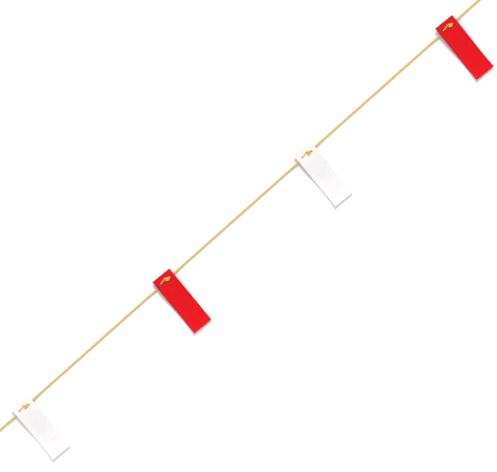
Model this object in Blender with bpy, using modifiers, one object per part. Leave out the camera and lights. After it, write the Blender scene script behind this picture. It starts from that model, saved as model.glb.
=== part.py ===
"""Flag bunting: four small felt flags, white and red in turn, tied to a twisted gold cord.

The string lies on a flat surface at z = 0. +X runs along the cord, +Y points from the flags'
lower ends to their tops, and the origin is under the middle of the row of flags.
Each flag lies over the cord. Its tie, a thread, goes round the cord, up through one slit,
across the face with an overhand knot in it, and down through the other slit.
"""
from math import pi, radians, sin

import bpy
from mathutils import Vector

MM = 0.001
GAP = 0.3 * MM  # left between pieces that touch

CORD_D = 5.0 * MM
THREAD_D = 2.6 * MM
FELT = 1.2 * MM

FLAG_W = 50.0 * MM
FLAG_L = 150.0 * MM
FLAG_PITCH = 430.7 * MM
FLAG_LEAN = radians(-2.5)  # each flag hangs a little off square to the cord
CORD_Y = 58.2 * MM  # from the flags' middles to the cord

CORD_Z = THREAD_D + GAP + CORD_D / 2  # where a tie's thread passes below the cord
FLAG_UNDER = CORD_Z + CORD_D / 2 + GAP
FACE_Z = FLAG_UNDER + FELT + GAP

# A flag leaves the cord level, comes down in a long curve and lies flat near its lower end.
LEVEL_BELOW_CORD = 5.0 * MM
CURL_LENGTH = 16.0 * MM  # the lower edge lifts a little over this length
FLAG_COLUMNS = 6
FLAG_ROWS = 30

WHITE = (0.93, 0.92, 0.92, 1)
RED = (0.80, 0.012, 0.02, 1)
GOLD = (0.74, 0.50, 0.16, 1)

# name, colour, touchdown below the cord, lift of the lower left and lower right corners
FLAGS = (
    ("flag_1_white", WHITE, 94.0 * MM, 1.4 * MM, 0.8 * MM),
    ("flag_2_red", RED, 97.0 * MM, 0.9 * MM, 1.5 * MM),
    ("flag_3_white", WHITE, 93.0 * MM, 1.2 * MM, 1.1 * MM),
    ("flag_4_red", RED, 98.0 * MM, 1.5 * MM, 0.7 * MM),
)

# The slits run along the flag. Their middles are given from the cord's line: along, across.
SLIT_W = 3.9 * MM
SLIT_L = 7.0 * MM
SLITS = ((-14.0 * MM, 2.3 * MM), (13.8 * MM, -1.8 * MM))

# The cord beside and below one flag, from where it crosses the flag's middle line: along,
# sideways, axis height.
CORD_ROUTE = (
    (-76.0, -0.3, 2.6),
    (-58.0, -0.4, 2.6),
    (-36.0, -0.55, 4.1),
    (-13.0, -0.6, 5.25),
    (13.0, 1.0, 5.25),
    (36.0, 1.1, 4.1),
    (58.0, 1.0, 2.6),
    (76.0, 0.9, 2.6),
)
ROUTE_STEPS = 2  # points on each stretch between two rows of a route
CORD_START = -728.0 * MM
CORD_END = 768.0 * MM
CORD_END_SIDEWAYS = 0.3 * MM
CORD_END_Z = 2.6 * MM

# An overhand knot in a strand along X, in units of the knot's scale: along, across, up.
KNOT = (
    (-3.2, 0.0, 0.5),
    (-2.5, 0.0, 0.6),
    (-1.8, -0.2, 1.2),
    (-1.25, -0.75, 1.7),
    (-0.8, -1.4, 1.5),
    (-0.35, -2.0, 0.88),
    (0.25, -2.5, 0.52),
    (1.1, -2.85, 0.5),
    (1.95, -2.6, 0.7),
    (2.15, -1.85, 1.2),
    (1.65, -1.15, 1.7),
    (0.85, -0.7, 1.7),
    (0.0, -0.5, 1.15),
    (-0.9, -0.75, 0.6),
    (-1.7, -1.2, 0.5),
    (-2.15, -1.9, 0.6),
    (-1.9, -2.6, 0.95),
    (-1.1, -2.8, 1.5),
    (-0.25, -2.5, 1.83),
    (0.4, -1.95, 1.62),
    (0.8, -1.4, 0.98),
    (1.25, -0.75, 0.52),
    (1.8, -0.2, 0.5),
    (2.5, 0.0, 0.5),
    (3.2, 0.0, 0.5),
)
KNOT_STRAND = 0.95  # a strand's thickness in the knot, in the same units: it is pulled tight
KNOT_DIP = 0.03  # how far the smooth curve dips below the table's lowest points
END_KNOT_SCALE = 5.0 * MM
END_TAIL = 9.0 * MM  # past the knot

TIE_KNOT_SCALE = 2.2 * MM
TIE_KNOT_AT = (6.3 * MM, 3.4 * MM)

# One tie, from the cord's line at the flag's middle: along, across, height of the thread's
# middle. The knot comes between the two tables.
TIE_UP_AND_ACROSS = (
    (0.0, 0.0, 1.33),
    (-7.0, 2.4, 1.5),
    (-12.2, 3.9, 2.6),
    (-14.4, 3.9, 5.4),
    (-14.1, 2.2, 8.8),
    (-12.6, 2.2, 10.7),
    (-8.5, 2.8, 11.0),
    (-3.6, 3.4, 11.0),
)
TIE_DOWN_AND_UNDER = (
    (12.0, 1.6, 10.8),
    (13.2, -0.2, 10.4),
    (13.8, -1.8, 8.8),
    (14.2, -3.7, 5.4),
    (12.2, -3.9, 2.6),
    (7.0, -2.4, 1.5),
)


def clear_scene():
    for obj in list(bpy.data.objects):
        bpy.data.objects.remove(obj, do_unlink=True)


def new_collection(name):
    collection = bpy.data.collections.new(name)
    bpy.context.scene.collection.children.link(collection)
    return collection


def new_material(name, colour, roughness):
    material = bpy.data.materials.new(name)
    material.use_nodes = True
    shader = material.node_tree.nodes["Principled BSDF"]
    shader.inputs["Base Color"].default_value = colour
    shader.inputs["Roughness"].default_value = roughness
    shader.inputs["Metallic"].default_value = 0.0
    return material


def tangent(before, at, after):
    """The direction of a smooth curve at the middle one of three points, for each metre."""
    back, ahead = (at - before).length, (after - at).length
    return ((at - before) * ahead / back + (after - at) * back / ahead) / (back + ahead)


def spline_through(points, steps, closed=False):
    """Points on a smooth curve through the given ones, steps to each stretch."""
    if closed:
        row = [points[-1], *points, points[0], points[1]]
    else:
        row = [2 * points[0] - points[1], *points, 2 * points[-1] - points[-2]]
    smooth = []
    for i in range(1, len(row) - 2):
        start, end = row[i], row[i + 1]
        length = (end - start).length
        leave = tangent(row[i - 1], start, end) * length
        arrive = tangent(start, end, row[i + 2]) * length
        for step in range(steps):
            t = step / steps
            bend = 3 * (end - start) - 2 * leave - arrive
            twist = 2 * (start - end) + leave + arrive
            smooth.append(start + leave * t + bend * t**2 + twist * t**3)
    return smooth if closed else smooth + [points[-1]]


def tube(name, points, diameter, collection, material, closed=False, tight=None, twist="MINIMUM"):
    """A round strand along the points. tight scales its thickness at each of them."""
    curve = bpy.data.curves.new(name, "CURVE")
    curve.dimensions = "3D"
    curve.twist_mode = twist
    curve.bevel_depth = diameter / 2
    curve.bevel_resolution = 2
    curve.use_fill_caps = not closed
    spline = curve.splines.new("POLY")
    spline.points.add(len(points) - 1)
    for i, (spot, point) in enumerate(zip(spline.points, points)):
        spot.co = (*point, 1)
        spot.radius = tight[i] if tight else 1
    spline.use_cyclic_u = closed
    spline.use_smooth = True
    curve.materials.append(material)
    obj = bpy.data.objects.new(name, curve)
    collection.objects.link(obj)
    return obj


def flag_centre(index):
    return Vector(((index - (len(FLAGS) - 1) / 2) * FLAG_PITCH, 0, 0))


def tie_centre(index):
    """Where the flag's middle line meets the cord's line."""
    return flag_centre(index) + Vector((CORD_Y * sin(-FLAG_LEAN), CORD_Y, 0))


def fall(distance, touchdown):
    """Height of a flag's underside at this distance below the cord."""
    t = (distance - LEVEL_BELOW_CORD) / (touchdown - LEVEL_BELOW_CORD)
    t = min(max(t, 0), 1)
    return FLAG_UNDER * (1 - t * t * (3 - 2 * t))


def curl(distance, across, lift_left, lift_right):
    """How far the lower edge lifts there. across runs from 0 at the left to 1."""
    longest = FLAG_L / 2 + CORD_Y
    t = max(0, distance - (longest - CURL_LENGTH)) / CURL_LENGTH
    return t * t * (lift_left + (lift_right - lift_left) * across)


def flag_sheet(name, touchdown, lift_left, lift_right):
    """The underside of one flag as a grid, level over the cord and flat where it lands."""
    verts = []
    for row in range(FLAG_ROWS + 1):
        y = FLAG_L * (row / FLAG_ROWS - 0.5)
        for column in range(FLAG_COLUMNS + 1):
            across = column / FLAG_COLUMNS
            distance = CORD_Y - y
            z = fall(distance, touchdown) + curl(distance, across, lift_left, lift_right)
            verts.append((FLAG_W * (across - 0.5), y, z))
    wide = FLAG_COLUMNS + 1
    faces = [
        (i, i + 1, i + wide + 1, i + wide)
        for row in range(FLAG_ROWS)
        for i in range(row * wide, row * wide + FLAG_COLUMNS)
    ]
    mesh = bpy.data.meshes.new(name)
    mesh.from_pydata(verts, [], faces)
    return mesh


def slit_cutter(name, place, cutters):
    """A long oval post that opens one slit wide enough for the thread."""
    bpy.ops.mesh.primitive_cylinder_add(vertices=12, radius=0.5, depth=1)
    cutter = bpy.context.object
    cutter.name = name
    cutter.scale = (SLIT_W, SLIT_L, 4 * FLAG_UNDER)
    cutter.location = place
    cutter.rotation_euler = (0, 0, FLAG_LEAN)
    cutter.hide_render = True
    cutter.display_type = "WIRE"
    for owner in list(cutter.users_collection):
        owner.objects.unlink(cutter)
    cutters.objects.link(cutter)
    return cutter


def build_flag(index, row, parts, cutters, material):
    name, _, touchdown, lift_left, lift_right = row
    flag = bpy.data.objects.new(name, flag_sheet(name, touchdown, lift_left, lift_right))
    parts.objects.link(flag)
    flag.location = flag_centre(index)
    flag.rotation_euler = (0, 0, FLAG_LEAN)
    flag.data.materials.append(material)
    felt = flag.modifiers.new("felt", "SOLIDIFY")
    felt.thickness = FELT
    felt.offset = 1
    for side, (along, across) in zip(("left", "right"), SLITS):
        place = tie_centre(index) + Vector((along, across, FLAG_UNDER))
        slit = flag.modifiers.new(f"slit_{side}", "BOOLEAN")
        slit.operation = "DIFFERENCE"
        slit.object = slit_cutter(f"slit_{index + 1}_{side}", place, cutters)


def knot_points(scale, strand_d):
    """The overhand knot's points at a scale, standing on z = 0."""
    lift = strand_d / 2 - (min(z for _, _, z in KNOT) - KNOT_DIP) * scale
    return [Vector((x * scale, y * scale, z * scale + lift)) for x, y, z in KNOT]


def build_tie(index, parts, material):
    strand = TIE_KNOT_SCALE * KNOT_STRAND
    knot_at = Vector((*TIE_KNOT_AT, FACE_Z))
    straight_ends = 2
    knot = knot_points(TIE_KNOT_SCALE, strand)[straight_ends:-straight_ends]
    knot = [p + knot_at for p in knot]
    up = [Vector(p) * MM for p in TIE_UP_AND_ACROSS]
    down = [Vector(p) * MM for p in TIE_DOWN_AND_UNDER]
    route = [p + tie_centre(index) for p in (*up, *knot, *down)]
    tight = [1] * len(up) + [strand / THREAD_D] * len(knot) + [1] * len(down)
    tight = [thickness for thickness in tight for _ in range(ROUTE_STEPS)]
    points = spline_through(route, ROUTE_STEPS, closed=True)
    tube(f"tie_{index + 1}", points, THREAD_D, parts, material, closed=True, tight=tight)


def build_cord(parts, material):
    """One cord, lying on the surface and lifted a little under each flag by its tie."""
    start = Vector((CORD_START, CORD_Y - CORD_END_SIDEWAYS, CORD_END_Z))
    end = Vector((CORD_END, CORD_Y + CORD_END_SIDEWAYS, CORD_END_Z))
    route = [start]
    for index in range(len(FLAGS)):
        route += [Vector(p) * MM + tie_centre(index) for p in CORD_ROUTE]
    route.append(end)
    tube("cord", spline_through(route, ROUTE_STEPS), CORD_D, parts, material, twist="Z_UP")


def build_end_knot(name, place, turn, parts, material):
    """A stopper knot with a short tail. Its strand meets the cord's end face to face."""
    strand = END_KNOT_SCALE * KNOT_STRAND
    points = knot_points(END_KNOT_SCALE, strand)
    points[-1].x += END_TAIL - (KNOT[-1][0] - KNOT[-2][0]) * END_KNOT_SCALE
    knot = tube(name, spline_through(points, ROUTE_STEPS), strand, parts, material)
    knot.location = place
    knot.rotation_euler = (0, 0, turn)


def main():
    clear_scene()
    parts = new_collection("bunting")
    cutters = new_collection("cutters")
    gold = new_material("gold_cord", GOLD, 0.45)
    felts = {
        WHITE: new_material("white_felt", WHITE, 0.9),
        RED: new_material("red_felt", RED, 0.9),
    }
    build_cord(parts, gold)
    for index, row in enumerate(FLAGS):
        build_flag(index, row, parts, cutters, felts[row[1]])
        build_tie(index, parts, gold)
    reach = -KNOT[0][0] * END_KNOT_SCALE + GAP
    left = Vector((CORD_START - reach, CORD_Y - CORD_END_SIDEWAYS, 0))
    right = Vector((CORD_END + reach, CORD_Y + CORD_END_SIDEWAYS, 0))
    build_end_knot("end_knot_left", left, pi, parts, gold)
    build_end_knot("end_knot_right", right, 0, parts, gold)


main()
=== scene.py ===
from math import atan2, cos, exp, pi, radians, sin, sqrt

import bpy
from mathutils import Matrix, Vector, noise


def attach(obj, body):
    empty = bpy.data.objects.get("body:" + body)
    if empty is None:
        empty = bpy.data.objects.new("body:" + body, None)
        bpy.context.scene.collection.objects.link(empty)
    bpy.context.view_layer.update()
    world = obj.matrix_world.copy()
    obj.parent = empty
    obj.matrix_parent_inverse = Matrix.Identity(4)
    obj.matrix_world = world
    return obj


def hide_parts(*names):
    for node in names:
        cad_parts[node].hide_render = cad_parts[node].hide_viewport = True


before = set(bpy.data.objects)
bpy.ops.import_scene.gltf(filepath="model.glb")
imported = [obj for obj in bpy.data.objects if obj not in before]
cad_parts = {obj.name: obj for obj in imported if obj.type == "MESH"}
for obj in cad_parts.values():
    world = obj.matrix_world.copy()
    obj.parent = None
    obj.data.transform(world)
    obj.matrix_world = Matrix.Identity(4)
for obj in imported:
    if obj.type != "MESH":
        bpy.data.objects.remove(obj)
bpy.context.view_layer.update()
mm = 0.001
up = Vector((0, 0, 1))

# Places and routes follow the CAD's, in the row frame: +X along the cord, +Y to the flags' tops.
# The twisted cord is a little thinner than its solid, so it lies a little lower.


# Camera, floor and light
view = {
    "lens": 135,
    "place": (-0.0044, 0.0086, 4.236),
    "turn": radians(-41.883),
    "farthest": 200,
}


def makeCamera():
    data = bpy.data.cameras.new("camera")
    data.lens = view["lens"]
    data.clip_end = view["farthest"]
    camera = bpy.data.objects.new("camera", data)
    camera.location = view["place"]
    camera.rotation_euler = (0, 0, view["turn"])
    bpy.context.scene.collection.objects.link(camera)
    bpy.context.scene.camera = camera


light = {
    "sky": 0.70,
    "sun": 2.15,
    "sunSoftness": radians(15),
    "sunHeight": radians(41),
    "sunFrom": (0.6676, 0.7445),  # the top of the picture
    "floor": (0.95, 0.95, 0.95, 1),
    "floorHalf": 30,
}


def makeStudio():
    scene = bpy.context.scene
    scene.view_settings.view_transform = "Standard"
    scene.world = bpy.data.worlds.new("studio")
    scene.world.use_nodes = True
    sky = scene.world.node_tree.nodes["Background"]
    sky.inputs["Color"].default_value = (1, 1, 1, 1)
    sky.inputs["Strength"].default_value = light["sky"]
    data = bpy.data.lights.new("sun", "SUN")
    data.energy = light["sun"]
    data.angle = light["sunSoftness"]
    sun = bpy.data.objects.new("sun", data)
    x, y = light["sunFrom"]
    level = cos(light["sunHeight"])
    toSun = Vector((x * level, y * level, sin(light["sunHeight"])))
    sun.rotation_euler = toSun.to_track_quat("Z", "Y").to_euler()
    scene.collection.objects.link(sun)
    mesh = bpy.data.meshes.new("floor")
    half = light["floorHalf"]
    mesh.from_pydata([(-half, -half, 0), (half, -half, 0), (half, half, 0), (-half, half, 0)],
                     [], [(0, 1, 2, 3)])
    floor = bpy.data.objects.new("floor", mesh)
    scene.collection.objects.link(floor)
    paper = bpy.data.materials.new("floorPaper")
    paper.use_nodes = True
    shader = paper.node_tree.nodes["Principled BSDF"]
    shader.inputs["Base Color"].default_value = light["floor"]
    shader.inputs["Roughness"].default_value = 1
    shader.inputs["Specular IOR Level"].default_value = 0
    mesh.materials.append(paper)


# Smooth lines
def slopeAt(before, at, after):
    back, ahead = (at - before).length, (after - at).length
    return ((at - before) * ahead / back + (after - at) * back / ahead) / (back + ahead)


def smoothLine(points, steps, closed=False):
    if closed:
        row = [points[-1], *points, points[0], points[1]]
    else:
        row = [2 * points[0] - points[1], *points, 2 * points[-1] - points[-2]]
    line = []
    for i in range(1, len(row) - 2):
        a, b = row[i], row[i + 1]
        length = (b - a).length
        leave = slopeAt(row[i - 1], a, b) * length
        arrive = slopeAt(a, b, row[i + 2]) * length
        for step in range(steps):
            t = step / steps
            line.append(a + leave * t + (3 * (b - a) - 2 * leave - arrive) * t**2
                        + (2 * (a - b) + leave + arrive) * t**3)
    return line if closed else line + [points[-1]]


def evenLine(line, radii, spacing, closed=False):
    # Points at even distances along the line, with the radius at each and the distance between.
    line = line + [line[0]] if closed else line
    radii = radii + [radii[0]] if closed else radii
    far = [0.0]
    for a, b in zip(line, line[1:]):
        far.append(far[-1] + (b - a).length)
    count = max(2, round(far[-1] / spacing))
    points, widths, i = [], [], 0
    for k in range(count + 1):
        d = far[-1] * k / count
        while i < len(far) - 2 and far[i + 1] < d:
            i += 1
        t = (d - far[i]) / (far[i + 1] - far[i])
        points.append(line[i].lerp(line[i + 1], t))
        widths.append(radii[i] + (radii[i + 1] - radii[i]) * t)
    if closed:
        points.pop(), widths.pop()
    return points, widths, far[-1] / count


# Twisted cord and thread
def ringFrames(points, closed, side=None):
    # Two directions across the line at each point, carried along without turning about it.
    count = len(points)
    along = []
    for i in range(count):
        after = points[(i + 1) % count] if closed or i < count - 1 else points[i]
        before = points[i - 1] if closed or i > 0 else points[i]
        along.append((after - before).normalized())
    side = side or up.cross(along[0])
    side = (side - along[0] * side.dot(along[0])).normalized()
    frames = []
    for i in range(count):
        if i:
            side = along[i - 1].rotation_difference(along[i]) @ side
            side = (side - along[i] * side.dot(along[i])).normalized()
        frames.append((side, along[i].cross(side)))
    if closed:  # how far the last frame has turned from the first
        last = along[-1].rotation_difference(along[0]) @ side
        turned = atan2(last.dot(frames[0][1]), last.dot(frames[0][0]))
        return frames, turned
    return frames, 0


def lobe(angle, strands):
    # Distance from the middle of a twisted cord to its skin, as a share of its radius.
    half = pi / strands
    off = (angle % (2 * half)) - half
    reach, size = 0.46, 0.54
    return reach * cos(off) + sqrt(size**2 - (reach * sin(off)) ** 2)


strandEnd = {  # the rounded end of a knot's tail
    "angles": (radians(24), radians(46), radians(68)),
    "depth": 0.75,  # in radii
    "tip": 0.8,
    # the crest share at the tip, which sets its painted groove shade
    "crest": 0.8,
}


def twistedSkin(name, points, radii, spacing, lay, strands=3, perStrand=8, phase=0.0, closed=False,
                first=None, roundEnd=False):
    # One closed skin round twisted strands, with grooves between them. phase turns the strands,
    # and first gives the two directions across the first ring where it joins another piece.
    frames, turned = ringFrames(points, closed, first[0] if first else None)
    if first:
        frames[0] = first
    sides = strands * perStrand
    full = 2 * pi
    twist = full * spacing / lay
    if closed:  # whole strands have to meet
        strand = full / strands
        twist = (round((twist * len(points) + turned) / strand) * strand - turned) / len(points)
    stations = [(centre, radius, frames[i], phase + twist * i)
                for i, (centre, radius) in enumerate(zip(points, radii))]
    if roundEnd:
        outward = (points[-1] - points[-2]).normalized()
        lastTurn = stations[-1][3]
        for angle in strandEnd["angles"]:
            centre = points[-1] + outward * radii[-1] * strandEnd["depth"] * sin(angle)
            stations.append((centre, radii[-1] * cos(angle), frames[-1], lastTurn))
    verts, crest = [], []
    for centre, radius, (across, over), turn in stations:
        for j in range(sides):
            away = lobe(full * j / sides, strands)
            angle = turn + full * j / sides
            verts.append(centre + (across * cos(angle) + over * sin(angle)) * radius * away)
            crest.append(away)
    faces, uvs = [], []
    slip = round((twist * len(points) + turned) * sides / full)
    for a in range(len(stations) - (0 if closed else 1)):
        b = (a + 1) % len(stations)
        shift = slip if b == 0 else 0
        uA = stations[a][3] / full
        uB = uA + twist / full if b == 0 else stations[b][3] / full
        for j in range(sides):
            k = (j + 1) % sides
            faces.append((a * sides + j, a * sides + k,
                          b * sides + (k + shift) % sides, b * sides + (j + shift) % sides))
            here, there = j / sides, (j + 1) / sides
            uvs += [(uA + here, a), (uA + there, a), (uB + there, a + 1), (uB + here, a + 1)]
    flatFaces = []
    if not closed:
        for ring, end, inner in ((0, 0, 1), (len(stations) - 1, -1, -2)):
            middle = len(verts)
            tip = strandEnd["tip"] * radii[-1] if roundEnd and ring else 0
            verts.append(points[end] + (points[end] - points[inner]).normalized() * tip)
            crest.append(strandEnd["crest"])
            if not tip:
                flatFaces += range(len(faces), len(faces) + sides)
            for j in range(sides):
                k = (j + 1) % sides
                pair = (ring * sides + j, ring * sides + k)
                faces.append((*(pair if ring else pair[::-1]), middle))
                uvs += [(j / sides, 0), (k / sides, 0), (j / sides, 1)]
    mesh = bpy.data.meshes.new(name)
    mesh.from_pydata(verts, [], faces)
    layer = mesh.uv_layers.new(name="alongTheStrands")
    scale = spacing / (radii[0] * 2)
    for loop, (u, v) in zip(layer.data, uvs):
        loop.uv = (u, v * scale)
    # The crest share also sets the painted shade in the grooves.
    heights = mesh.attributes.new("crest", "FLOAT", "POINT")
    heights.data.foreach_set("value", crest)
    mesh.shade_smooth()
    for i in flatFaces:
        mesh.polygons[i].use_smooth = False
    piece = bpy.data.objects.new(name, mesh)
    bpy.context.scene.collection.objects.link(piece)
    ends = [(frames[i], stations[i][3]) for i in (0, len(points) - 1)]
    return piece, ends


# Felt flags
flags = {
    "names": ("flagWhite1", "flagRed2", "flagWhite3", "flagRed4"),
    "nodes": ("flag_1_white", "flag_2_red", "flag_3_white", "flag_4_red"),
    "slots": ("white_felt", "red_felt", "white_felt", "red_felt"),
    "width": 50 * mm,
    "length": 150 * mm,
    "pitch": 430.7 * mm,
    "lean": radians(-2.5),
    "thickness": 1.3 * mm,
    "underside": 7.95 * mm,  # height over the cord
    "levelBelowCord": 5 * mm,
    "touchdown": (84 * mm, 87 * mm, 83 * mm, 88 * mm),  # below the cord
    "lifts": (  # how high each lower edge ends, at its left and right
        (3.8 * mm, 3.3 * mm), (3.4 * mm, 3.7 * mm), (3.7 * mm, 3.4 * mm), (3.8 * mm, 3.2 * mm),
    ),
    "curlLength": 36 * mm,  # the lower edge lifts off the table over this length
    "sideLift": 2.0 * mm,
    "sideWidth": 15 * mm,  # and the left edge over this width
    "cell": 1.0 * mm,  # spacing of the mesh
    "rim": 0.35 * mm,  # how far the cut edge rounds over
    "rimAngles": (radians(30), radians(60), radians(90)),
    "edgeShadeBand": 3.2 * mm,  # the band of painted shade along the cut edge and the slits
    "rimShade": 0.8,  # how dark the band is at the edge, before the edge itself
    "raggedness": 0.07 * mm,
    "tufts": (700, 60),  # fine and coarse steps of the ragged edge, in each metre
    "buckle": 0.22 * mm,
    "waves": (38, 30),  # across and along, in each metre
    "stillBesideCord": 12 * mm,
    "threadPress": 0.18 * mm,
    "pressWidth": 2.6 * mm,
}
slits = {
    "places": ((-13.2 * mm, 2.3 * mm), (12.7 * mm, -1.8 * mm)),  # from the cord: along, across
    "halfWidth": 1.55 * mm,
    "halfLength": 2.8 * mm,
    "pointed": 1.45,
    "blockColumns": 4,  # the block of mesh that is cut anew round each slit
    "blockRows": 5,
    "rings": 5,
    "closing": 0.85,  # below 1 the rings stand closer together at the slit
}


def flagCentre(index):
    return Vector(((index - (len(flags["names"]) - 1) / 2) * flags["pitch"], 0, 0))


def tieCentre(index):
    return flagCentre(index) + Vector((cord["y"] * sin(-flags["lean"]), cord["y"], 0))


def slitEdge(angle, margin):
    # The outline of a slit that the thread holds open.
    c = cos(angle)
    across = (slits["halfWidth"] + margin) * (abs(c) ** slits["pointed"]) * (1 if c > 0 else -1)
    return Vector((across, (slits["halfLength"] + margin) * sin(angle)))


def flatFelt(slitPlaces):
    # The cut piece, flat: points, faces, and the loops round its outer edge and its slits.
    inset, cell = flags["rim"], flags["cell"]
    wide, long = flags["width"] - 2 * inset, flags["length"] - 2 * inset
    columns, rows = round(wide / cell), round(long / cell)
    points, faces, index, loops = [], [], {}, []

    def spot(c, r):
        return Vector((wide * (c / columns - 0.5), long * (r / rows - 0.5)))

    blocks = []
    for place in slitPlaces:
        c = round((place.x / wide + 0.5) * columns)
        r = round((place.y / long + 0.5) * rows)
        blocks.append((c - slits["blockColumns"], c + slits["blockColumns"],
                       r - slits["blockRows"], r + slits["blockRows"], place))
    for r in range(rows + 1):
        for c in range(columns + 1):
            if not any(a < c < b and d < r < e for a, b, d, e, _ in blocks):
                index[c, r] = len(points)
                points.append(spot(c, r))
    for r in range(rows):
        for c in range(columns):
            if not any(a <= c < b and d <= r < e for a, b, d, e, _ in blocks):
                faces.append((index[c, r], index[c + 1, r], index[c + 1, r + 1], index[c, r + 1]))
    loops.append([index[c, 0] for c in range(columns)] + [index[columns, r] for r in range(rows)]
                 + [index[c, rows] for c in range(columns, 0, -1)]
                 + [index[0, r] for r in range(rows, 0, -1)])
    for a, b, d, e, place in blocks:
        around = ([(c, d) for c in range(a, b)] + [(b, r) for r in range(d, e)]
                  + [(c, e) for c in range(b, a, -1)] + [(a, r) for r in range(e, d, -1)])
        outer = [index[key] for key in around]
        middle = spot((a + b) / 2, (d + e) / 2)
        halfWide, halfLong = spot(b, e) - middle
        starts = [points[i] for i in outer]
        previous = outer
        for ring in range(1, slits["rings"] + 1):
            t = (ring / slits["rings"]) ** slits["closing"]
            current = []
            for p in starts:
                angle = atan2((p.y - middle.y) / halfLong, (p.x - middle.x) / halfWide)
                current.append(len(points))
                points.append(p.lerp(place + slitEdge(angle, inset), t))
            count = len(outer)
            for i in range(count):
                j = (i + 1) % count
                faces.append((previous[i], previous[j], current[j], current[i]))
            previous = current
        loops.append(previous[::-1])
    return points, faces, loops


def feltHeight(index, p):
    # Height of the flag's underside at a place on it.
    below = cord["y"] - p.y
    across = p.x / flags["width"] + 0.5
    t = (below - flags["levelBelowCord"]) / (flags["touchdown"][index] - flags["levelBelowCord"])
    t = min(max(t, 0), 1)
    share = 1 - t * t * (3 - 2 * t)
    longest = flags["length"] / 2 + cord["y"]
    lift = max(0, below - (longest - flags["curlLength"])) / flags["curlLength"]
    left, right = flags["lifts"][index]
    side = max(0, flags["sideWidth"] - flags["width"] / 2 - p.x) / flags["sideWidth"]
    wavesAcross, wavesAlong = flags["waves"]
    wave = noise.noise(Vector((p.x * wavesAcross + 7.1 * index, p.y * wavesAlong, 3.7 * index)))
    return (flags["underside"] * share + lift * lift * (left + (right - left) * across)
            + flags["sideLift"] * side * side * (1 - share)
            + flags["buckle"] * wave * share * min(1, abs(below) / flags["stillBesideCord"]))


def makeFlag(index, material):
    lean = Matrix.Rotation(flags["lean"], 4, "Z")
    toFlag = (Matrix.Translation(flagCentre(index)) @ lean).inverted()
    slitPlaces = [(toFlag @ (tieCentre(index) + Vector((*place, 0)))).to_2d()
                  for place in slits["places"]]
    flat, faces, loops = flatFelt(slitPlaces)
    rim, half = flags["rim"], flags["thickness"] / 2
    count = len(flat)
    threadStart, threadEnd = slitPlaces
    run = threadEnd - threadStart

    def press(p):  # how far the thread and its knot press the felt down
        t = min(max((p - threadStart).dot(run) / run.length_squared, 0), 1)
        away = (p - threadStart - run * t).length
        return flags["threadPress"] * exp(-(away / flags["pressWidth"]) ** 2)

    def ragged(p, seed):
        fine, coarse = flags["tufts"]
        fibres = noise.noise(Vector((p.x * fine, p.y * fine, seed)))
        bends = noise.noise(Vector((p.x * coarse, p.y * coarse, seed + 9)))
        return flags["raggedness"] * (fibres + 1.2 * bends)

    verts, edgeness = [], []

    def addPoint(p, aboveMiddle, edge):
        height = feltHeight(index, p) + half + aboveMiddle
        if aboveMiddle > 0:
            height -= press(p) * min(1, aboveMiddle / half)
        verts.append(Vector((p.x, p.y, height)))
        edgeness.append(edge)

    # Painted shade: a darker band along the cut edges and the slits, darkest on the rounded edge
    # itself.
    def edgeShadeNearness(p):
        toSide = min(flags["width"] / 2 - abs(p.x), flags["length"] / 2 - abs(p.y))
        toSlit = min(max(abs(p.x - s.x) - slits["halfWidth"], abs(p.y - s.y) - slits["halfLength"])
                     for s in slitPlaces)
        return max(0.0, 1 - min(toSide, max(toSlit, 0)) / flags["edgeShadeBand"])

    shade = flags["rimShade"]
    for face in (half, -half):
        for p in flat:
            addPoint(p, face, shade * edgeShadeNearness(p))
    solid = [tuple(face) for face in faces]
    solid += [tuple(i + count for i in reversed(face)) for face in faces]
    profile = [(sin(a), -rim + rim * cos(a)) for a in flags["rimAngles"]]
    for number, loop in enumerate(loops):
        size = len(loop)
        outward = []
        for i in range(size):
            before, after = flat[loop[i - 1]], flat[loop[(i + 1) % size]]
            here = flat[loop[i]]
            a, b = (here - before).normalized(), (after - here).normalized()
            n = Vector((a.y + b.y, -a.x - b.x))
            n.normalize()
            outward.append(n / max(0.6, n.dot(Vector((a.y, -a.x)))))  # corners reach further out
        rings = [list(loop)]
        for face, order, seed in ((1, profile, number), (-1, profile[::-1], number + 20)):
            for out, down in order:
                rings.append([])
                for i in range(size):
                    reach = rim * out + ragged(flat[loop[i]], seed + 3 * index) * out
                    rings[-1].append(len(verts))
                    addPoint(flat[loop[i]] + outward[i] * reach, face * (half + down),
                             shade + (1 - shade) * out)
        rings.append([i + count for i in loop])
        for upper, lower in zip(rings, rings[1:]):
            for i in range(size):
                j = (i + 1) % size
                solid.append((upper[i], lower[i], lower[j], upper[j]))
    mesh = bpy.data.meshes.new(flags["names"][index])
    mesh.from_pydata(verts, [], solid)
    mesh.attributes.new("edge", "FLOAT", "POINT").data.foreach_set("value", edgeness)
    mesh.shade_smooth()
    mesh.transform(Matrix.Translation(flagCentre(index)) @ lean)
    piece = bpy.data.objects.new(flags["names"][index], mesh)
    bpy.context.scene.collection.objects.link(piece)
    piece.data.materials.append(material)
    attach(piece, "root")
    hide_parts(flags["nodes"][index])
    return piece


# Cord, end knots and ties
cord = {
    "diameter": 4.5 * mm,
    "y": 58.2 * mm,
    "start": (-728.0 * mm, 57.9 * mm, 2.35 * mm),
    "end": (768.0 * mm, 58.5 * mm, 2.35 * mm),
    "length": 1.496,
    "pastEachFlag": (  # from where it crosses the flag's middle line: along, sideways, height
        (-76.0, -0.3, 2.35), (-58.0, -0.4, 2.35), (-36.0, -0.55, 3.95), (-13.0, -0.6, 5.3),
        (13.0, 1.0, 5.3), (36.0, 1.1, 3.95), (58.0, 1.0, 2.35), (76.0, 0.9, 2.35),
    ),
    "lay": 13.5 * mm,  # length of one turn of the three strands
    "ringsPerTurn": 20,
    "steps": 24,
}


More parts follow.
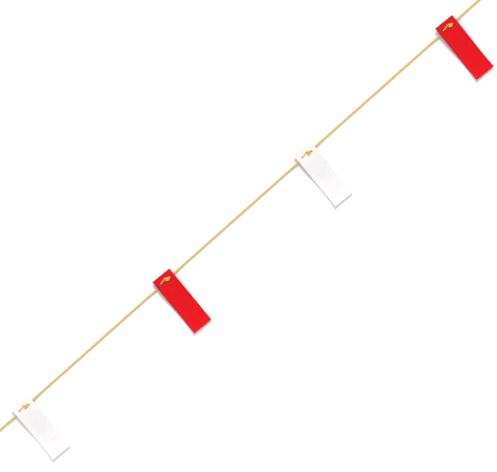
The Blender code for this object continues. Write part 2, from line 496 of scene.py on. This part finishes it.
def makeCord(material):
    route = [Vector(cord["start"])]
    for index in range(len(flags["names"])):
        route += [Vector(p) * mm + tieCentre(index) for p in cord["pastEachFlag"]]
    route.append(Vector(cord["end"]))
    line = smoothLine(route, cord["steps"])
    spacing = cord["lay"] / cord["ringsPerTurn"]
    points, radii, spacing = evenLine(line, [cord["diameter"] / 2] * len(line), spacing)
    piece, ends = twistedSkin("twistedCord", points, radii, spacing, cord["lay"])
    piece.data.materials.append(material)
    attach(piece, "root")
    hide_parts("cord")
    return piece, points, ends


knot = {
    "line": (  # an overhand knot along X, in units of its scale
        (-3.2, 0.0, 0.5), (-2.5, 0.0, 0.6), (-1.8, -0.2, 1.2), (-1.25, -0.75, 1.7), (-0.8, -1.4, 1.5),
        (-0.35, -2.0, 0.88), (0.25, -2.5, 0.52), (1.1, -2.85, 0.5), (1.95, -2.6, 0.7),
        (2.15, -1.85, 1.2), (1.65, -1.15, 1.7), (0.85, -0.7, 1.7), (0.0, -0.5, 1.15),
        (-0.9, -0.75, 0.6), (-1.7, -1.2, 0.5), (-2.15, -1.9, 0.6), (-1.9, -2.6, 0.95),
        (-1.1, -2.8, 1.5), (-0.25, -2.5, 1.83), (0.4, -1.95, 1.62), (0.8, -1.4, 0.98),
        (1.25, -0.75, 0.52), (1.8, -0.2, 0.5), (2.5, 0.0, 0.5), (3.2, 0.0, 0.5),
    ),
    "reach": 3.2,  # from its middle to either end
    "middle": -1.45,  # across
    "lowest": 0.47,  # where the smooth line comes nearest to the table
    "strand": 0.95,  # its thickness, pulled tight
    "leftOut": (2, 3),  # points at the two ends that a tie leaves out
    "endScale": 5.0 * mm,
    "endSquash": (0.77, 0.86),
    "endSwell": 1.12,
    "endSteps": 12,
    "swellsOver": 18,  # steps over which the cord becomes the knot's tighter strand
    "tail": 9.0 * mm,
}


def knotPoints(scale):
    lift = scale * (knot["strand"] / 2 - knot["lowest"])
    return [Vector((x * scale, y * scale, z * scale + lift)) for x, y, z in knot["line"]]


def makeEndKnot(name, node, place, turn, first, phase, material):
    scale = knot["endScale"]
    pull, push = knot["endSquash"]
    route = knotPoints(scale)
    for p in route[1:-1]:
        p.x, p.y = p.x * pull, p.y * push
    route[-1].x = route[-2].x + knot["tail"]
    route[0].z = route[1].z = cord["end"][2]
    spin = Matrix.Translation(place) @ Matrix.Rotation(turn, 4, "Z")
    line = [spin @ p for p in smoothLine(route, knot["endSteps"])]
    thick, tight = cord["diameter"] / 2, scale * knot["strand"] / 2 * knot["endSwell"]
    radii = [thick + (tight - thick) * min(1, i / knot["swellsOver"]) for i in range(len(line))]
    points, radii, spacing = evenLine(line, radii, cord["lay"] / cord["ringsPerTurn"])
    piece, _ = twistedSkin(name, points, radii, spacing, cord["lay"], phase=phase, first=first,
                           roundEnd=True)
    for vertex in piece.data.vertices:  # pressed flat where it rests
        vertex.co.z = max(vertex.co.z, 0)
    piece.data.materials.append(material)
    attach(piece, "root")
    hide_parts(node)
    return piece


thread = {
    "diameter": 2.6 * mm,
    "lay": 6.6 * mm,
    "ringsPerTurn": 16,
    "steps": 10,
    "turnOfEach": 0.9,  # the strands start a little further round on each tie
    "onTheFelt": -0.42 * mm,  # lowers the thread on the face, to close the CAD's gap there,
    "lowersFrom": 5.4,  # but not below this height in mm,
    "lowersOver": 5.3,  # and in full only from this much higher
    "upAndAcross": (
        (0.0, 0.0, 1.36), (-7.0, 2.4, 1.5), (-11.8, 3.9, 2.6), (-13.7, 3.9, 5.4),
        (-13.3, 2.2, 8.8), (-11.8, 2.2, 10.7), (-8.2, 2.8, 11.0), (-3.6, 3.4, 11.0),
    ),
    "downAndUnder": (
        (12.1, 1.1, 10.8), (13.2, -0.2, 9.0), (13.6, -2.6, 5.4),
        (11.6, -3.9, 2.6), (7.0, -2.4, 1.5),
    ),
    "knotAt": (6.4 * mm, 4.2 * mm, 9.7 * mm),
    "knotScale": 2.2 * mm,
    "knotSquash": (0.80, 1.02),  # pulled together along the thread, pushed out across it
    "knotTurn": radians(-20),
    "knotSwell": 1.40,  # the soft strands press into each other
}


def makeTie(index, material):
    scale = thread["knotScale"]
    lower = Vector((0, 0, thread["onTheFelt"]))

    def settled(points):
        shares = [(p[2] - thread["lowersFrom"]) / thread["lowersOver"] for p in points]
        return [Vector(p) * mm + lower * min(1, max(0, share)) for p, share in zip(points, shares)]

    rising, falling = settled(thread["upAndAcross"]), settled(thread["downAndUnder"])
    middle = knotPoints(scale)[knot["leftOut"][0]:-knot["leftOut"][1]]
    core = Vector((0, knot["middle"] * scale, 0))
    pull, push = thread["knotSquash"]
    spin = Matrix.Rotation(thread["knotTurn"], 3, "Z")
    middle = [spin @ Vector((p.x * pull, (p.y - core.y) * push, p.z)) + core for p in middle]
    middle = [p + Vector(thread["knotAt"]) + lower for p in middle]
    route = [p + tieCentre(index) for p in (*rising, *middle, *falling)]
    wide, tight = thread["diameter"] / 2, scale * knot["strand"] / 2 * thread["knotSwell"]
    widths = [wide] * len(rising) + [tight] * len(middle) + [wide] * len(falling)
    steps = thread["steps"]
    line = smoothLine(route, steps, closed=True)
    radii = []
    for a, b in zip(widths, widths[1:] + widths[:1]):
        radii += [a + (b - a) * s / steps for s in range(steps)]
    spacing = thread["lay"] / thread["ringsPerTurn"]
    points, radii, spacing = evenLine(line, radii, spacing, closed=True)
    piece, _ = twistedSkin(f"tie{index + 1}", points, radii, spacing, thread["lay"], perStrand=6,
                           phase=thread["turnOfEach"] * index, closed=True)
    piece.data.materials.append(material)
    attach(piece, "root")
    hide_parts(f"tie_{index + 1}")
    return piece


# Materials
def nodeMaterial(name):
    material = bpy.data.materials.new(name)
    material.use_nodes = True
    tree = material.node_tree
    return material, tree, tree.nodes["Principled BSDF"]


def addNode(tree, kind, **values):
    made = tree.nodes.new(kind)
    for key, value in values.items():
        if hasattr(made, key):
            setattr(made, key, value)
        else:
            made.inputs[key].default_value = value
    return made


def addMath(tree, operation, a, b):
    made = tree.nodes.new("ShaderNodeMath")
    made.operation = operation
    for socket, value in zip(made.inputs, (a, b)):
        if isinstance(value, (int, float)):
            socket.default_value = value
        else:
            tree.links.new(value, socket)
    return made.outputs[0]


def addMix(tree, factor, a, b):
    made = tree.nodes.new("ShaderNodeMix")
    made.data_type = "RGBA"
    for socket, value in zip((made.inputs[0], made.inputs[6], made.inputs[7]), (factor, a, b)):
        if isinstance(value, (int, float, tuple)):
            socket.default_value = value
        else:
            tree.links.new(value, socket)
    return made.outputs[2]


goldFinish = {
    # painted shade in the grooves between the strands
    "grooveShade": (0.52, 0.28, 0.035, 1),
    "crest": (0.83, 0.55, 0.12, 1),
    # painted glints along the yarn lines
    "paintedGlint": (0.95, 0.75, 0.29, 1),
    "yarns": 7.5,
    "sheen": 0.25,
}
threadFinish = {
    # painted shade in the grooves between the strands
    "grooveShade": (0.72, 0.36, 0.03, 1),
    "crest": (0.97, 0.60, 0.08, 1),
    # painted glints along the yarn lines
    "paintedGlint": (0.99, 0.78, 0.23, 1),
    "yarns": 5.0,
    "sheen": 0.12,
}
yarnLook = {
    "wander": 2.2,  # how far the yarn lines leave the strand's own line
    "speckle": 900.0,
    "patches": 55.0,
    "patchShare": 0.35,
    # where the painted groove shade is full, and where the full colour begins
    "grooveShadeAt": 0.60,  # shares of the radius
    "crestAt": 0.90,
    "roughness": (0.29, 0.49),
    "specular": 0.6,
    "sheenRoughness": 0.35,
    "sheenTint": (1, 0.86, 0.55, 1),
    "bump": 0.35,
    "bumpDepth": 0.12 * mm,
}


def goldYarn(name, finish):
    material, tree, shader = nodeMaterial(name)
    link = tree.links.new
    uv = addNode(tree, "ShaderNodeUVMap", uv_map="alongTheStrands")
    yarn = addNode(tree, "ShaderNodeTexWave", Scale=finish["yarns"], Distortion=yarnLook["wander"],
                   Detail=2.0)
    yarn.inputs["Detail Scale"].default_value = 1.5
    link(uv.outputs[0], yarn.inputs["Vector"])
    place = addNode(tree, "ShaderNodeTexCoord")
    speckle = addNode(tree, "ShaderNodeTexNoise", Scale=yarnLook["speckle"], Detail=3.0)
    link(place.outputs["Object"], speckle.inputs["Vector"])
    patches = addNode(tree, "ShaderNodeTexNoise", Scale=yarnLook["patches"], Detail=2.0)
    link(place.outputs["Object"], patches.inputs["Vector"])
    # Painted shade: the grooves between the strands are darker, by the crest share.
    crest = addNode(tree, "ShaderNodeAttribute", attribute_name="crest")
    height = addNode(tree, "ShaderNodeMapRange")
    height.inputs["From Min"].default_value = yarnLook["grooveShadeAt"]
    height.inputs["From Max"].default_value = yarnLook["crestAt"]
    link(crest.outputs["Fac"], height.inputs["Value"])
    body = addMix(tree, height.outputs[0], finish["grooveShade"], finish["crest"])
    # Painted glints: a paler colour where the yarn lines and the speckle meet.
    glints = addMath(tree, "MULTIPLY", yarn.outputs["Fac"], speckle.outputs["Fac"])
    withGlints = addMix(tree, glints, body, finish["paintedGlint"])
    deeper = addMath(tree, "MULTIPLY", patches.outputs["Fac"], yarnLook["patchShare"])
    colour = addMix(tree, deeper, withGlints, finish["crest"])
    link(colour, shader.inputs["Base Color"])
    rough = addNode(tree, "ShaderNodeMapRange")
    rough.inputs["To Min"].default_value = yarnLook["roughness"][0]
    rough.inputs["To Max"].default_value = yarnLook["roughness"][1]
    link(speckle.outputs["Fac"], rough.inputs["Value"])
    link(rough.outputs[0], shader.inputs["Roughness"])
    bump = addNode(tree, "ShaderNodeBump", Strength=yarnLook["bump"],
                   Distance=yarnLook["bumpDepth"])
    link(yarn.outputs["Fac"], bump.inputs["Height"])
    link(bump.outputs[0], shader.inputs["Normal"])
    shader.inputs["Sheen Weight"].default_value = finish["sheen"]
    shader.inputs["Sheen Roughness"].default_value = yarnLook["sheenRoughness"]
    shader.inputs["Sheen Tint"].default_value = yarnLook["sheenTint"]
    shader.inputs["Specular IOR Level"].default_value = yarnLook["specular"]
    return material


whiteFinish = {
    "fibre": (0.919, 0.901, 0.91, 1),
    # painted shade in the fibre hollows, also the colour the clouds mottle toward
    "hollowShadeAndMottle": (0.80, 0.782, 0.79, 1),
    # painted shade along the cut edges and slits
    "edge": (0.83, 0.815, 0.82, 1),
    "sheen": 0.15,
    "tint": (1, 1, 1, 1),
    "bump": 0.65,
    "bumpDepth": 0.2 * mm,
}
redFinish = {
    "fibre": (0.885, 0.0093, 0.0172, 1),
    # painted shade in the fibre hollows, also the colour the clouds mottle toward
    "hollowShadeAndMottle": (0.64, 0.0033, 0.0088, 1),
    # painted shade along the cut edges and slits
    "edge": (0.33, 0.004, 0.009, 1),
    "sheen": 0.2,
    "tint": (1, 0.12, 0.10, 1),
    "bump": 0.75,
    "bumpDepth": 0.22 * mm,
}
feltLook = {
    "fibres": ((0.3, 1900.0), (1.4, 1600.0), (2.5, 2200.0)),  # turn and scale, in three directions
    "stretch": (1.0, 5.0, 1.0),
    "tufts": 420.0,
    # fibre heights at which the painted hollow shade is full and gone
    "hollowAt": 0.38,
    "fibreAt": 0.78,
    "clouds": 60.0,
    "cloudShare": 0.16,
    # how strong the painted edge shade is, and how it fades inward
    "edgeShare": 0.9,
    "edgePower": 1.2,
    "roughness": 0.92,
    "specular": 0.12,
    "sheenRoughness": 0.55,
}


def felt(name, finish):
    material, tree, shader = nodeMaterial(name)
    link = tree.links.new
    place = addNode(tree, "ShaderNodeTexCoord")
    tufts = addNode(tree, "ShaderNodeTexNoise", Scale=feltLook["tufts"], Detail=2.0)
    link(place.outputs["Object"], tufts.inputs["Vector"])
    hairs = []
    for turn, scale in feltLook["fibres"]:
        spun = addNode(tree, "ShaderNodeMapping", vector_type="TEXTURE")
        spun.inputs["Rotation"].default_value = (0, 0, turn)
        spun.inputs["Scale"].default_value = feltLook["stretch"]
        link(place.outputs["Object"], spun.inputs["Vector"])
        strand = addNode(tree, "ShaderNodeTexNoise", Scale=scale, Detail=3.0, Distortion=1.2)
        link(spun.outputs[0], strand.inputs["Vector"])
        hairs.append(strand.outputs["Fac"])
    matted = addMath(tree, "MAXIMUM", addMath(tree, "MAXIMUM", hairs[0], hairs[1]), hairs[2])
    raised = addMath(tree, "MULTIPLY", matted, addMath(tree, "ADD", tufts.outputs["Fac"], 0.5))
    fibre = addNode(tree, "ShaderNodeMapRange")
    fibre.inputs["From Min"].default_value = feltLook["hollowAt"]
    fibre.inputs["From Max"].default_value = feltLook["fibreAt"]
    link(raised, fibre.inputs["Value"])
    clouds = addNode(tree, "ShaderNodeTexNoise", Scale=feltLook["clouds"], Detail=3.0)
    link(place.outputs["Object"], clouds.inputs["Vector"])
    cloudy = addMath(tree, "MULTIPLY", clouds.outputs["Fac"], feltLook["cloudShare"])
    # Painted shade: the fibre hollows are darker, by the height that drives the bump; the clouds
    # mottle toward that colour at random.
    body = addMix(tree, fibre.outputs[0], finish["hollowShadeAndMottle"], finish["fibre"])
    body = addMix(tree, cloudy, body, finish["hollowShadeAndMottle"])
    # Painted shade along the cut edges and slits, from the edge attribute.
    rim = addNode(tree, "ShaderNodeAttribute", attribute_name="edge")
    edgeShadeCurve = addMath(tree, "POWER", rim.outputs["Fac"], feltLook["edgePower"])
    edgeShadeAmount = addMath(tree, "MULTIPLY", edgeShadeCurve, feltLook["edgeShare"])
    colour = addMix(tree, edgeShadeAmount, body, finish["edge"])
    link(colour, shader.inputs["Base Color"])
    bump = addNode(tree, "ShaderNodeBump", Strength=finish["bump"], Distance=finish["bumpDepth"])
    link(fibre.outputs[0], bump.inputs["Height"])
    link(bump.outputs[0], shader.inputs["Normal"])
    shader.inputs["Roughness"].default_value = feltLook["roughness"]
    shader.inputs["Specular IOR Level"].default_value = feltLook["specular"]
    shader.inputs["Sheen Weight"].default_value = finish["sheen"]
    shader.inputs["Sheen Roughness"].default_value = feltLook["sheenRoughness"]
    shader.inputs["Sheen Tint"].default_value = finish["tint"]
    return material


makeCamera()
makeStudio()
print("camera and light are in place")

goldCord = goldYarn("goldCord", goldFinish)
goldThread = goldYarn("goldThread", threadFinish)
cordPiece, cordLine, cordEnds = makeCord(goldCord)
reach = knot["endScale"] * knot["reach"]
leftPlace = Vector((cordLine[0].x - reach, cordLine[0].y, 0))
rightPlace = Vector((cordLine[-1].x + reach, cordLine[-1].y, 0))
((across, over), leftTurn), (rightFrame, rightTurn) = cordEnds
leftKnot = makeEndKnot("endKnotLeft", "end_knot_left", leftPlace, pi, (across, -over), -leftTurn,
                       goldCord)
rightKnot = makeEndKnot("endKnotRight", "end_knot_right", rightPlace, 0, rightFrame, rightTurn,
                        goldCord)
print("the cord and its end knots are twisted")

whiteFelt = felt("whiteFelt", whiteFinish)
redFelt = felt("redFelt", redFinish)
for number in range(len(flags["names"])):
    makeFlag(number, redFelt if number % 2 else whiteFelt)
    makeTie(number, goldThread)
    print("flag", number + 1, "is tied on")
